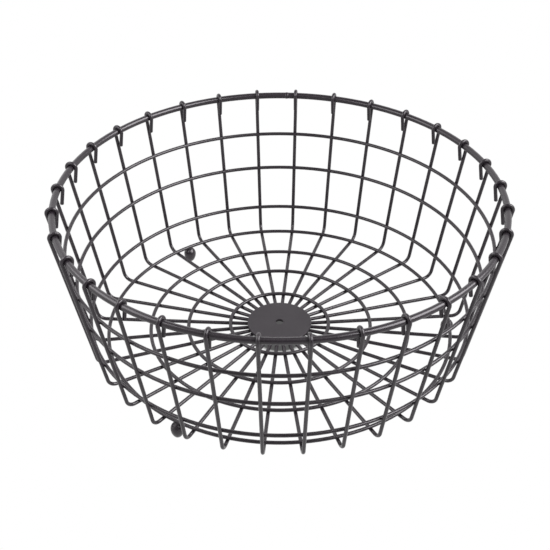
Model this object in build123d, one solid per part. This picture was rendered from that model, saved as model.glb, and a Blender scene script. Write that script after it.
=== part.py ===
from build123d import *
import os
from math import asin, atan, cos, degrees, floor, pi, radians, sin, sqrt, tan

# A round, flared wire basket for collecting eggs, welded together from plain round wire.
# Millimetres, +Z up, with the origin on the floor under the middle of the basket.

# --- Driving dimensions -------------------------------------------------------------------
WIRE_DIAMETER = 2.8  # ribs, wall hoops and base rings
RIM_WIRE_DIAMETER = 5.0
WELD_SINK = 0.1  # how far two welded wires are pressed into each other

RIM_RADIUS = 165.0  # to the rim wire's centre-line
RIM_RISE = 116.1  # rim centre-line above the outer base ring's centre-line
WALL_LEAN = 11.95  # degrees that the wall leans out from upright
BASE_RISE = 1.32  # degrees that the base climbs towards the middle

RIB_COUNT = 32
RIB_BEND_RADIUS = 7.0  # centre-line radius where a rib turns from base to wall
RIB_END_GAP = 0.55  # free width between neighbouring ribs at their inner ends
TAIL_LENGTH = 12.2  # straight end of a rib, inside the rim
TAIL_GAP = 0.35  # free width between the tail's end and its own rib
CUT_ROUNDING = 0.5  # rounding of the cut wire ends

LOWEST_HOOP_RISE = 18.1  # above the outer base ring's centre-line
UPPER_HOOP_PLACES = (0.36, 0.66)  # between the lowest hoop, 0, and the rim, 1
OUTER_RING_INSET = 4.6  # from the start of the rib bend in to the outer base ring
HUB_RING_SPACE = 13.4  # from the hub disc's edge out to the inner base ring
MIDDLE_RING_PLACES = (0.345, 0.655)  # between the inner base ring, 0, and the outer one, 1

HUB_DIAMETER = 50.0
HUB_THICKNESS = 2.0
HUB_HOLE_DIAMETER = 6.4
HUB_EDGE_ROUNDING = 0.3

FOOT_HEIGHT = 13.2  # floor to the outer base ring's centre-line
FOOT_DIAMETER = 10.0
FOOT_WAIST_HEIGHT = 6.7  # floor to where the foot is widest
FOOT_SOLE_DIAMETER = 5.4
FOOT_NECK_DIAMETER = 4.0
FOOT_NECK_REACH = 1.2  # how far the neck climbs past the bottom of the ring wire
FOOT_SOLE_ROUNDING = 0.5
FOOT_CLEARANCE = 0.3  # least free width between a foot and the ribs beside it
FOOT_AZIMUTHS = {"foot_right": 8.3, "foot_back_left": 130.0, "foot_front_left": 241.5}

SEAM_AZIMUTH = 92.6  # where the rim wire's two ends are butt-welded
SEAM_BEAD_DIAMETER = 5.5

# --- Values worked out from them ----------------------------------------------------------
WIRE_RADIUS = WIRE_DIAMETER / 2
RIM_WIRE_RADIUS = RIM_WIRE_DIAMETER / 2
RIB_PITCH = 360 / RIB_COUNT
CROSSING = WIRE_DIAMETER - WELD_SINK  # between the centre-lines of two crossing thin wires
LOOP_RADIUS = WIRE_RADIUS + RIM_WIRE_RADIUS - WELD_SINK  # rib centre-line round the rim
LEAN = radians(WALL_LEAN)
RISE = radians(BASE_RISE)
RING_Z = FOOT_HEIGHT  # outer base ring's centre-line
RIM_Z = RING_Z + RIM_RISE

# Everything below is drawn in one upright plane, as points (distance from the axis, height).
ALONG_WALL = Vector(sin(LEAN), cos(LEAN))
OUT_OF_WALL = Vector(cos(LEAN), -sin(LEAN))
ALONG_BASE = Vector(cos(RISE), -sin(RISE))
UP_FROM_BASE = Vector(sin(RISE), cos(RISE))

RIM_CENTRE = Vector(RIM_RADIUS, RIM_Z)
WALL_TOP = RIM_CENTRE + OUT_OF_WALL * LOOP_RADIUS  # where the wall meets the loop
TURN = pi / 2 - LEAN + RISE  # how far a rib turns at its bend
BEND_RUN = RIB_BEND_RADIUS * tan(TURN / 2)  # from the corner back to where the bend starts


def wall_radius(height):
    """Distance of the wall ribs' centre-lines from the axis at a height."""
    return WALL_TOP.X + (height - WALL_TOP.Y) * tan(LEAN)


def corner_radius():
    """Distance from the axis at which a rib's base and wall lines cross.

    The base line runs one crossing under the outer base ring, which is OUTER_RING_INSET
    and the bend's own run in from the corner.
    """
    inset = OUTER_RING_INSET + BEND_RUN
    corner_below_ring = inset * sin(RISE) + CROSSING * cos(RISE)
    return wall_radius(RING_Z - corner_below_ring)


CORNER = Vector(
    corner_radius(),
    RING_Z - (OUTER_RING_INSET + BEND_RUN) * sin(RISE) - CROSSING * cos(RISE),
)
OUTER_RING_RADIUS = (CORNER - ALONG_BASE * (OUTER_RING_INSET + BEND_RUN)).X + CROSSING * sin(RISE)
INNER_RING_RADIUS = HUB_DIAMETER / 2 + HUB_RING_SPACE
RIB_START_RADIUS = RIB_COUNT * (WIRE_DIAMETER + RIB_END_GAP) / (2 * pi)


def base_height(radius):
    """Height of the ribs' centre-lines on the base at a distance from the axis."""
    return CORNER.Y + (CORNER.X - radius) * tan(RISE)


def tail_lean():
    """Angle between a tail and upright that leaves TAIL_GAP at the tail's end.

    With q the angle between the tail and the rib's wall, the end of the tail stands
    LOOP_RADIUS * (1 + cos q) - TAIL_LENGTH * sin q from the wall's centre-line.
    """
    space = WIRE_DIAMETER + TAIL_GAP
    root = sqrt(TAIL_LENGTH**2 + space * (2 * LOOP_RADIUS - space))
    return 2 * atan((root - TAIL_LENGTH) / space) - LEAN


def in_plane(point):
    """A point of the upright plane as a point in space, at azimuth 0."""
    return (point.X, 0, point.Y)


def round_rim(angle):
    """The point of a rib's loop at an angle about the rim, from outwards over the top."""
    return RIM_CENTRE + Vector(cos(angle), sin(angle)) * LOOP_RADIUS


def make_rib():
    """One rib at azimuth 0: base run, bend, wall, loop over the rim and tail."""
    start = Vector(RIB_START_RADIUS, base_height(RIB_START_RADIUS))
    bend_start = CORNER - ALONG_BASE * BEND_RUN
    bend_end = CORNER + ALONG_WALL * BEND_RUN
    bend_centre = bend_start + UP_FROM_BASE * RIB_BEND_RADIUS
    towards_corner = (CORNER - bend_centre).normalized()
    bend_middle = bend_centre + towards_corner * RIB_BEND_RADIUS

    lean = tail_lean()
    loop_start = -LEAN
    loop_end = pi + lean
    tail_end = round_rim(loop_end) + Vector(sin(lean), -cos(lean)) * TAIL_LENGTH

    path = Curve() + [
        Line(in_plane(start), in_plane(bend_start)),
        ThreePointArc(in_plane(bend_start), in_plane(bend_middle), in_plane(bend_end)),
        Line(in_plane(bend_end), in_plane(round_rim(loop_start))),
        ThreePointArc(
            in_plane(round_rim(loop_start)),
            in_plane(round_rim((loop_start + loop_end) / 2)),
            in_plane(round_rim(loop_end)),
        ),
        Line(in_plane(round_rim(loop_end)), in_plane(tail_end)),
    ]
    section = Plane(origin=in_plane(start), z_dir=in_plane(ALONG_BASE)) * Circle(WIRE_RADIUS)
    rib = sweep(section, path=path)
    for end in (start, tail_end):
        cut_edge = rib.edges().filter_by(GeomType.CIRCLE).sort_by_distance(in_plane(end))[0]
        rib = fillet(cut_edge, CUT_ROUNDING)
    return rib


def make_ring(radius, height):
    """A closed thin wire ring about the axis."""
    return Pos(0, 0, height) * Torus(radius, WIRE_RADIUS)


def make_rim():
    """The rim wire with the low bead of its butt weld."""
    bead = Rot(0, 0, SEAM_AZIMUTH) * Pos(RIM_RADIUS, 0, RIM_Z) * Sphere(SEAM_BEAD_DIAMETER / 2)
    return Pos(0, 0, RIM_Z) * Torus(RIM_RADIUS, RIM_WIRE_RADIUS) + bead


def make_hub():
    """The flat disc on the ribs' inner ends, with a hole through its middle."""
    seat = base_height(RIB_START_RADIUS) + WIRE_RADIUS / cos(RISE) - WELD_SINK
    upward = (Align.CENTER, Align.CENTER, Align.MIN)
    disc = Cylinder(HUB_DIAMETER / 2, HUB_THICKNESS, align=upward)
    disc = fillet(disc.edges().filter_by(GeomType.CIRCLE), HUB_EDGE_ROUNDING)
    hole = Cylinder(HUB_HOLE_DIAMETER / 2, HUB_THICKNESS, align=upward)
    return Pos(0, 0, seat) * (disc - hole)


def foot_place(azimuth):
    """The azimuth nearest to the wanted one at which a foot clears both ribs beside it."""
    half_width = FOOT_DIAMETER / 2 + WIRE_RADIUS + FOOT_CLEARANCE
    margin = degrees(asin(half_width / OUTER_RING_RADIUS))
    rib_before = floor(azimuth / RIB_PITCH) * RIB_PITCH
    lowest = rib_before + margin
    highest = rib_before + RIB_PITCH - margin
    return min(max(azimuth, lowest), highest)


def make_foot(azimuth, ring):
    """A drop-shaped foot whose neck is grooved to sit on the underside of the ring."""
    neck_top = FOOT_HEIGHT - WIRE_RADIUS + FOOT_NECK_REACH
    neck_bottom = FOOT_HEIGHT - WIRE_RADIUS
    neck_radius = FOOT_NECK_DIAMETER / 2
    waist = (FOOT_DIAMETER / 2, FOOT_WAIST_HEIGHT)
    outline = Curve() + [
        Line((0, 0), (FOOT_SOLE_DIAMETER / 2, 0)),
        TangentArc(waist, (FOOT_SOLE_DIAMETER / 2, 0), tangent=(0, -1)),
        TangentArc(waist, (neck_radius, neck_bottom), tangent=(0, 1)),
        Line((neck_radius, neck_bottom), (neck_radius, neck_top)),
        Line((neck_radius, neck_top), (0, neck_top)),
        Line((0, neck_top), (0, 0)),
    ]
    body = revolve(Plane.XZ * make_face(outline), Axis.Z)
    sole_edge = body.edges().filter_by(GeomType.CIRCLE).sort_by(Axis.Z)[0]
    body = fillet(sole_edge, FOOT_SOLE_ROUNDING)
    return Rot(0, 0, foot_place(azimuth)) * Pos(OUTER_RING_RADIUS, 0, 0) * body - ring


def make_parts():
    """Every piece of the basket, by node name."""
    parts = {"rim_ring": make_rim()}

    rib = make_rib()
    for number in range(RIB_COUNT):
        parts[f"rib_{number + 1:02d}"] = Rot(0, 0, number * RIB_PITCH) * rib

    hoop_rises = [LOWEST_HOOP_RISE]
    for place in UPPER_HOOP_PLACES:
        hoop_rises.append(LOWEST_HOOP_RISE + place * (RIM_RISE - LOWEST_HOOP_RISE))
    for name, rise in zip(("lower", "middle", "upper"), hoop_rises):
        height = RING_Z + rise
        parts[f"wall_hoop_{name}"] = make_ring(wall_radius(height) - CROSSING / cos(LEAN), height)

    ring_radii = [INNER_RING_RADIUS]
    for place in MIDDLE_RING_PLACES:
        ring_radii.append(INNER_RING_RADIUS + place * (OUTER_RING_RADIUS - INNER_RING_RADIUS))
    ring_radii.append(OUTER_RING_RADIUS)
    for name, radius in zip(("inner", "mid_inner", "mid_outer", "outer"), ring_radii):
        height = base_height(radius) + CROSSING / cos(RISE)
        parts[f"base_ring_{name}"] = make_ring(radius, height)

    parts["hub_disc"] = make_hub()
    for name, azimuth in FOOT_AZIMUTHS.items():
        parts[name] = make_foot(azimuth, parts["base_ring_outer"])
    return parts


os.makedirs("parts", exist_ok=True)
for node, shape in make_parts().items():
    export_step(shape, f"parts/{node}.step")
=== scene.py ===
from math import cos, pi, radians, sin, sqrt

import bpy
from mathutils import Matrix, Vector


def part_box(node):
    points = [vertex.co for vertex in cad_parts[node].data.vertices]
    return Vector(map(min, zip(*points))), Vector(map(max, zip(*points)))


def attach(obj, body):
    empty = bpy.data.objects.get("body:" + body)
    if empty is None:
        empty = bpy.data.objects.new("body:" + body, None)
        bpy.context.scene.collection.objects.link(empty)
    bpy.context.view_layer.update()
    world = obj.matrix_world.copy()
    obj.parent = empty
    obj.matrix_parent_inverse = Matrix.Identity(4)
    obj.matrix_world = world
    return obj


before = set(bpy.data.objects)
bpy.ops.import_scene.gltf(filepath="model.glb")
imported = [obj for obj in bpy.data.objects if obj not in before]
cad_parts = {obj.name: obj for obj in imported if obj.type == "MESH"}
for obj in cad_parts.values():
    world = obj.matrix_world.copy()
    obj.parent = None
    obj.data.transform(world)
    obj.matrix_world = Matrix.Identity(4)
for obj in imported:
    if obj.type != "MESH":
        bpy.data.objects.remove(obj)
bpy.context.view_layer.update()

# --- Camera: the place from which the basket is seen --------------------------------------
CAMERA_AZIMUTH = 4.54  # degrees round from -Y towards +X
CAMERA_ELEVATION = 37.99
CAMERA_DISTANCE = 0.9499
CAMERA_LENS = 78.95  # mm, as the sensor is
CAMERA_SENSOR = 36.0
CAMERA_NEAR = 0.02  # nothing nearer or further than these is drawn
CAMERA_FAR = 50.0
AIM_SIDEWAYS = -0.0035  # aim point beside the basket's axis
AIM_HEIGHT = 0.0615
FLOOR_OF_AIM = 0.0132  # height of the point that the distance is measured from


def around(azimuth, elevation, distance, height=0.0):
    """The point at a distance from the axis point at a height, in the camera's convention."""
    turn, climb = radians(azimuth), radians(elevation)
    across = Vector((sin(turn) * cos(climb), -cos(turn) * cos(climb), sin(climb)))
    return across * distance + Vector((0, 0, height))


def aim(thing, target):
    """Turns a light or camera so that it looks at a point."""
    direction = Vector(target) - thing.location
    thing.rotation_euler = direction.to_track_quat("-Z", "Y").to_euler()


def make_camera():
    data = bpy.data.cameras.new("camera")
    data.lens = CAMERA_LENS
    data.sensor_width = CAMERA_SENSOR
    data.clip_start = CAMERA_NEAR
    data.clip_end = CAMERA_FAR
    camera = bpy.data.objects.new("camera", data)
    bpy.context.scene.collection.objects.link(camera)
    camera.location = around(CAMERA_AZIMUTH, CAMERA_ELEVATION, CAMERA_DISTANCE, FLOOR_OF_AIM)
    turn = radians(CAMERA_AZIMUTH)
    sideways = Vector((cos(turn), sin(turn), 0)) * AIM_SIDEWAYS
    aim(camera, sideways + Vector((0, 0, AIM_HEIGHT)))
    bpy.context.scene.camera = camera


# --- Materials ------------------------------------------------------------------------------
MIX_FACTOR = 0  # a Mix node's sockets, by number, when it mixes colours
MIX_COLOURS = slice(6, 8)
MIX_RESULT = 2


def node(tree, kind, **inputs):
    """A new shader node with its named inputs set."""
    made = tree.nodes.new(kind)
    for name, value in inputs.items():
        made.inputs[name.replace("_", " ")].default_value = value
    return made


def new_material(name):
    material = bpy.data.materials.new(name)
    material.use_nodes = True
    tree = material.node_tree
    shader = tree.nodes["Principled BSDF"]
    place = tree.nodes.new("ShaderNodeTexCoord").outputs["Object"]
    return material, tree, shader, place


def noise(tree, place, scale, detail=2.0, roughness=0.5):
    made = node(tree, "ShaderNodeTexNoise", Scale=scale, Detail=detail, Roughness=roughness)
    tree.links.new(place, made.inputs["Vector"])
    return made.outputs["Fac"]


def spread(tree, value, low, high, start=0.3, stop=0.7):
    """A value between start and stop, stretched to run from low to high."""
    made = tree.nodes.new("ShaderNodeMapRange")
    made.inputs["From Min"].default_value = start
    made.inputs["From Max"].default_value = stop
    made.inputs["To Min"].default_value = low
    made.inputs["To Max"].default_value = high
    tree.links.new(value, made.inputs["Value"])
    return made.outputs["Result"]


def blend(tree, factor, first, second):
    """A colour between two colours, each a fixed one or another node's output."""
    made = tree.nodes.new("ShaderNodeMix")
    made.data_type = "RGBA"
    for socket, colour in zip(made.inputs[MIX_COLOURS], (first, second)):
        if isinstance(colour, tuple):
            socket.default_value = (*colour, 1.0)
        else:
            tree.links.new(colour, socket)
    tree.links.new(factor, made.inputs[MIX_FACTOR])
    return made.outputs[MIX_RESULT]


COAT_DARK = (0.0125, 0.0095, 0.0125)  # the clouds run from this colour to the next
COAT_PALE = (0.018, 0.015, 0.018)
COAT_SHEEN = (1.0, 0.965, 1.0)  # the coat's grey has a trace of violet
CLOUD_SCALE = 45.0  # the noises' scales, in features per metre
RUB_SCALE = 260.0
PEEL_SCALE = 620.0
GRAIN_SCALE = 2400.0
GRAIN_SHARE = 0.1  # the grain's height, as a share of the orange peel's
# Each coat's lowest and highest roughness, and the height of its orange peel
WIRE_COAT = (0.24, 0.34, 6e-6)
RIM_COAT = (0.22, 0.30, 8e-6)
DISC_COAT = (0.34, 0.44, 1e-5)
FOOT_COAT = (0.24, 0.32, 8e-6)


def powder_coat(name, rough_low, rough_high, peel_height):
    """A baked powder coat: even colour with faint clouds, orange peel and fine grain."""
    material, tree, shader, place = new_material(name)
    links = tree.links
    clouds = spread(tree, noise(tree, place, CLOUD_SCALE, detail=3.0), 0, 1)
    links.new(blend(tree, clouds, COAT_DARK, COAT_PALE), shader.inputs["Base Color"])
    rub = noise(tree, place, RUB_SCALE, detail=4.0, roughness=0.6)
    links.new(spread(tree, rub, rough_low, rough_high), shader.inputs["Roughness"])

    peel = node(tree, "ShaderNodeBump", Strength=1.0, Distance=peel_height)
    links.new(noise(tree, place, PEEL_SCALE, detail=1.5), peel.inputs["Height"])
    grain = node(tree, "ShaderNodeBump", Strength=1.0, Distance=peel_height * GRAIN_SHARE)
    links.new(noise(tree, place, GRAIN_SCALE, detail=2.0), grain.inputs["Height"])
    links.new(peel.outputs["Normal"], grain.inputs["Normal"])
    links.new(grain.outputs["Normal"], shader.inputs["Normal"])

    shader.inputs["Specular IOR Level"].default_value = 0.5
    shader.inputs["Specular Tint"].default_value = (*COAT_SHEEN, 1.0)
    return material


def dress(nodes, material):
    """Gives CAD nodes a material in place of the plain one."""
    for name in nodes:
        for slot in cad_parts[name].material_slots:
            slot.link = "OBJECT"
            slot.material = material


# --- Stage ----------------------------------------------------------------------------------
FLOOR_REACH = 12.0  # from the axis to the floor's edges
# A painted shadow of the disc on the self-lit floor, as the camera sees it: its middle, radii and
# glow
SHADOW_MIDDLE = (0, 0.003, 0)
SHADOW_INNER = 0.0185  # the disc's painted shadow is full up to this radius on the floor
SHADOW_OUTER = 0.0225  # and gone at this one
SHADOW_GLOW = 0.10
HUB_PAINTED_SHADE_GLOW = 0.15  # painted shade: the floor under the hub, as the coat's reflections see it
UNDER_HUB_INNER = 0.02  # all of that painted shade up to this radius
UNDER_HUB_OUTER = 0.08  # and none of it beyond this one
OPEN_FLOOR_GLOW = 0.95  # the floor as it shows in reflections, further out


def radial(tree, place, middle, inner, outer, inside, outside):
    """A grey that has one value inside a radius and turns into another further out."""
    distance = tree.nodes.new("ShaderNodeVectorMath")
    distance.operation = "DISTANCE"
    tree.links.new(place, distance.inputs[0])
    distance.inputs[1].default_value = middle
    clear = spread(tree, distance.outputs["Value"], 0, 1, start=inner, stop=outer)
    return blend(tree, clear, (inside,) * 3, (outside,) * 3)


def make_floor():
    """A white floor that glows by itself, so that nothing casts a shadow on it.

    The camera sees it even, but for a painted spot in place of the disc's shadow. The coat's
    reflections see it with painted shade under the hub, where the basket would shade it.
    """
    reach = FLOOR_REACH
    corners = [(-reach, -reach, 0), (reach, -reach, 0), (reach, reach, 0), (-reach, reach, 0)]
    mesh = bpy.data.meshes.new("floor")
    mesh.from_pydata(corners, [], [(0, 1, 2, 3)])
    floor = bpy.data.objects.new("floor", mesh)
    bpy.context.scene.collection.objects.link(floor)
    material, tree, shader, place = new_material("floor_paper")
    shader.inputs["Base Color"].default_value = (0, 0, 0, 1)
    shader.inputs["Roughness"].default_value = 1.0
    shader.inputs["Specular IOR Level"].default_value = 0.0
    # painted shadow under the disc, in the floor's glow as the camera sees it
    plain = radial(tree, place, SHADOW_MIDDLE, SHADOW_INNER, SHADOW_OUTER, SHADOW_GLOW, 1.0)
    # painted shade under the hub, in the floor's glow as the coat's reflections see it
    reflected_floor_with_painted_shade = radial(tree, place, (0, 0, 0), UNDER_HUB_INNER, UNDER_HUB_OUTER,
                       HUB_PAINTED_SHADE_GLOW, OPEN_FLOOR_GLOW)
    seen = tree.nodes.new("ShaderNodeLightPath").outputs["Is Camera Ray"]
    tree.links.new(blend(tree, seen, reflected_floor_with_painted_shade, plain), shader.inputs["Emission Color"])
    shader.inputs["Emission Strength"].default_value = 1.0
    mesh.materials.append(material)


BASKET_MIDDLE = (0, 0, 0.08)


def softbox(name, place, width, height, radiance):
    """A rectangular light that faces the basket, as bright as a surface of the given radiance."""
    data = bpy.data.lights.new(name, "AREA")
    data.shape = "RECTANGLE"
    data.size = width
    data.size_y = height
    data.energy = radiance * width * height * pi
    light = bpy.data.objects.new(name, data)
    bpy.context.scene.collection.objects.link(light)
    light.location = place
    aim(light, BASKET_MIDDLE)


DARK_AZIMUTH = 10  # the unlit part of the studio, behind the camera
DARK_ELEVATION = 15
DARK_GLOW = 0.20
LIT_FROM = 0.1  # how squarely a direction may face the dark part and still be fully lit
DARK_FROM = 0.95  # and how squarely it has to face it to be fully dark
LEFT_WALL_GLOW = 1.5
RIGHT_WALL_GLOW = 1.05
WALLS_MEET = 0.6  # the walls blend between this far to the left and as far to the right
TOP_GLOW = 0.15
WALLS_END = 0.6  # the upward part of a direction at which the walls start to turn into the top
TOP_STARTS = 0.9


def make_world():
    """A white-walled studio that is dark on the photographer's side, and white to the camera."""
    world = bpy.data.worlds.new("studio")
    bpy.context.scene.world = world
    world.use_nodes = True
    tree = world.node_tree
    tree.nodes.clear()
    direction = tree.nodes.new("ShaderNodeTexCoord").outputs["Generated"]
    split = tree.nodes.new("ShaderNodeSeparateXYZ")
    tree.links.new(direction, split.inputs["Vector"])
    sideways = spread(tree, split.outputs["X"], 0, 1, start=-WALLS_MEET, stop=WALLS_MEET)
    walls = blend(tree, sideways, (LEFT_WALL_GLOW,) * 3, (RIGHT_WALL_GLOW,) * 3)
    upward = spread(tree, split.outputs["Z"], 0, 1, start=WALLS_END, stop=TOP_STARTS)
    room = blend(tree, upward, walls, (TOP_GLOW,) * 3)
    towards = tree.nodes.new("ShaderNodeVectorMath")
    towards.operation = "DOT_PRODUCT"
    tree.links.new(direction, towards.inputs[0])
    towards.inputs[1].default_value = around(DARK_AZIMUTH, DARK_ELEVATION, 1.0)
    lit = spread(tree, towards.outputs["Value"], 1, 0, start=LIT_FROM, stop=DARK_FROM)
    shade = blend(tree, lit, (DARK_GLOW,) * 3, room)
    surround = node(tree, "ShaderNodeBackground", Strength=1.0)
    tree.links.new(shade, surround.inputs["Color"])
    backdrop = node(tree, "ShaderNodeBackground", Color=(1, 1, 1, 1), Strength=1.0)
    seen = tree.nodes.new("ShaderNodeLightPath").outputs["Is Camera Ray"]
    mix = tree.nodes.new("ShaderNodeMixShader")
    tree.links.new(seen, mix.inputs["Fac"])
    tree.links.new(surround.outputs["Background"], mix.inputs[1])
    tree.links.new(backdrop.outputs["Background"], mix.inputs[2])
    output = tree.nodes.new("ShaderNodeOutputWorld")
    tree.links.new(mix.outputs["Shader"], output.inputs["Surface"])


# Each softbox's name, place, width, height and radiance
SOFTBOXES = [
    ("right_softbox", around(82, 43, 1.7, BASKET_MIDDLE[2]), 1.6, 1.1, 10.0),
    ("left_softbox", (-0.36, -0.10, 0.42), 0.40, 0.28, 4.0),
    ("top_softbox", (0, -0.20, 0.52), 0.60, 0.24, 0.6),
]


def make_studio():
    make_floor()
    make_world()
    for box in SOFTBOXES:
        softbox(*box)
    bpy.context.scene.view_settings.view_transform = "Standard"


# --- Weld fillets where the rings and hoops cross the ribs ------------------------------------
WALL_HOOPS = ["wall_hoop_lower", "wall_hoop_middle", "wall_hoop_upper"]
BASE_RINGS = ["base_ring_inner", "base_ring_mid_inner", "base_ring_mid_outer", "base_ring_outer"]
FILLET_NECK = 0.00090  # from the contact point out to the fillet's hollow
FILLET_LIP = 0.00122  # and out to its thin edges on the two wires
FILLET_ROOT = 0.00006  # how deep those edges lie inside the wires
FILLET_CAP = FILLET_ROOT * 3  # how deep the middle of each end cap lies inside them
FILLET_SIDES = 24
FILLET_STEPS = 8


def ring_place(name):
    """A ring's centre-line radius and height, and its wire's radius."""
    low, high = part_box(name)
    wire = (high[2] - low[2]) / 2
    return high[0] - wire, low[2] + wire, wire


def hollow(wire, offset):
    """How far a round wire's surface lies below its crest line at an offset beside it."""
    return wire - sqrt(wire**2 - offset**2)


def fillet_points(wire):
    """One fillet: rows of (along the ring, along the rib, from ring to rib) points.

    The ring lies under the contact point and the rib over it, so the fillet fills the wedge
    between the ring's crest and the rib's, and is hollow all round.
    """
    rows = []
    for step in range(FILLET_STEPS + 1):
        share = step / FILLET_STEPS
        reach = FILLET_NECK + (FILLET_LIP - FILLET_NECK) * (2 * share - 1) ** 2
        row = []
        for side in range(FILLET_SIDES):
            turn = 2 * pi * side / FILLET_SIDES
            along_ring, along_rib = reach * cos(turn), reach * sin(turn)
            floor = -hollow(wire, along_rib) - FILLET_ROOT
            ceiling = hollow(wire, along_ring) + FILLET_ROOT
            row.append((along_ring, along_rib, floor + (ceiling - floor) * share))
        rows.append(row)
    return rows


def fillet_faces(first):
    """The side faces between the rows and the two caps inside the wires."""
    faces = []
    for step in range(FILLET_STEPS):
        for side in range(FILLET_SIDES):
            here = first + step * FILLET_SIDES
            beside = (side + 1) % FILLET_SIDES
            faces.append((here + side, here + beside,
                          here + FILLET_SIDES + beside, here + FILLET_SIDES + side))
    below = first + (FILLET_STEPS + 1) * FILLET_SIDES
    top_row = first + FILLET_STEPS * FILLET_SIDES
    for side in range(FILLET_SIDES):
        beside = (side + 1) % FILLET_SIDES
        faces.append((below, first + beside, first + side))
        faces.append((below + 1, top_row + side, top_row + beside))
    return faces


def make_fillets(ring, outward, upward, rib_count, material):
    """The fillets between one ring and all the ribs.

    Outward and upward are the two parts of the direction from the ring to the ribs.
    """
    radius, height, wire = ring_place(ring)
    rows = fillet_points(wire)
    points, faces = [], []
    for number in range(rib_count):
        turn = 2 * pi * number / rib_count
        out_from_axis = Vector((cos(turn), sin(turn), 0))
        to_rib = out_from_axis * outward + Vector((0, 0, upward))
        along_ring = Vector((-sin(turn), cos(turn), 0))
        along_rib = to_rib.cross(along_ring)
        contact = out_from_axis * radius + Vector((0, 0, height)) + to_rib * wire
        faces += fillet_faces(len(points))
        for row in rows:
            for ring_way, rib_way, lift in row:
                points.append(contact + along_ring * ring_way + along_rib * rib_way + to_rib * lift)
        points.append(contact - to_rib * FILLET_CAP)
        points.append(contact + to_rib * FILLET_CAP)
    mesh = bpy.data.meshes.new(f"weld_fillets_{ring}")
    mesh.from_pydata(points, [], faces)
    mesh.shade_smooth()
    mesh.materials.append(material)
    piece = bpy.data.objects.new(f"weld_fillets_{ring}", mesh)
    bpy.context.scene.collection.objects.link(piece)
    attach(piece, "root")


def slope(first, second):
    """Unit direction from one ring's centre-line to another's, as (outward, upward)."""
    near, far = ring_place(first), ring_place(second)
    return Vector((far[0] - near[0], far[1] - near[1])).normalized()


def weld_rings(rib_count, material):
    """Fillets on the wall's ribs, outside the hoops, and on the base's, under the rings."""
    wall = slope(WALL_HOOPS[0], WALL_HOOPS[-1])
    for hoop in WALL_HOOPS:
        make_fillets(hoop, wall.y, -wall.x, rib_count, material)
    base = slope(BASE_RINGS[0], BASE_RINGS[-1])
    for ring in BASE_RINGS:
        make_fillets(ring, base.y, -base.x, rib_count, material)


# --- The basket -----------------------------------------------------------------------------
def dress_basket():
    names = sorted(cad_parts)
    feet = [name for name in names if name.startswith("foot_")]
    thin = [name for name in names if name.startswith(("rib_", "wall_hoop_", "base_ring_"))]
    wire = powder_coat("wire_powder_coat", *WIRE_COAT)
    dress(thin, wire)
    dress(["rim_ring"], powder_coat("rim_powder_coat", *RIM_COAT))
    dress(["hub_disc"], powder_coat("disc_powder_coat", *DISC_COAT))
    dress(feet, powder_coat("foot_powder_coat", *FOOT_COAT))
    ribs = [name for name in names if name.startswith("rib_")]
    weld_rings(len(ribs), wire)


make_camera()
make_studio()
dress_basket()
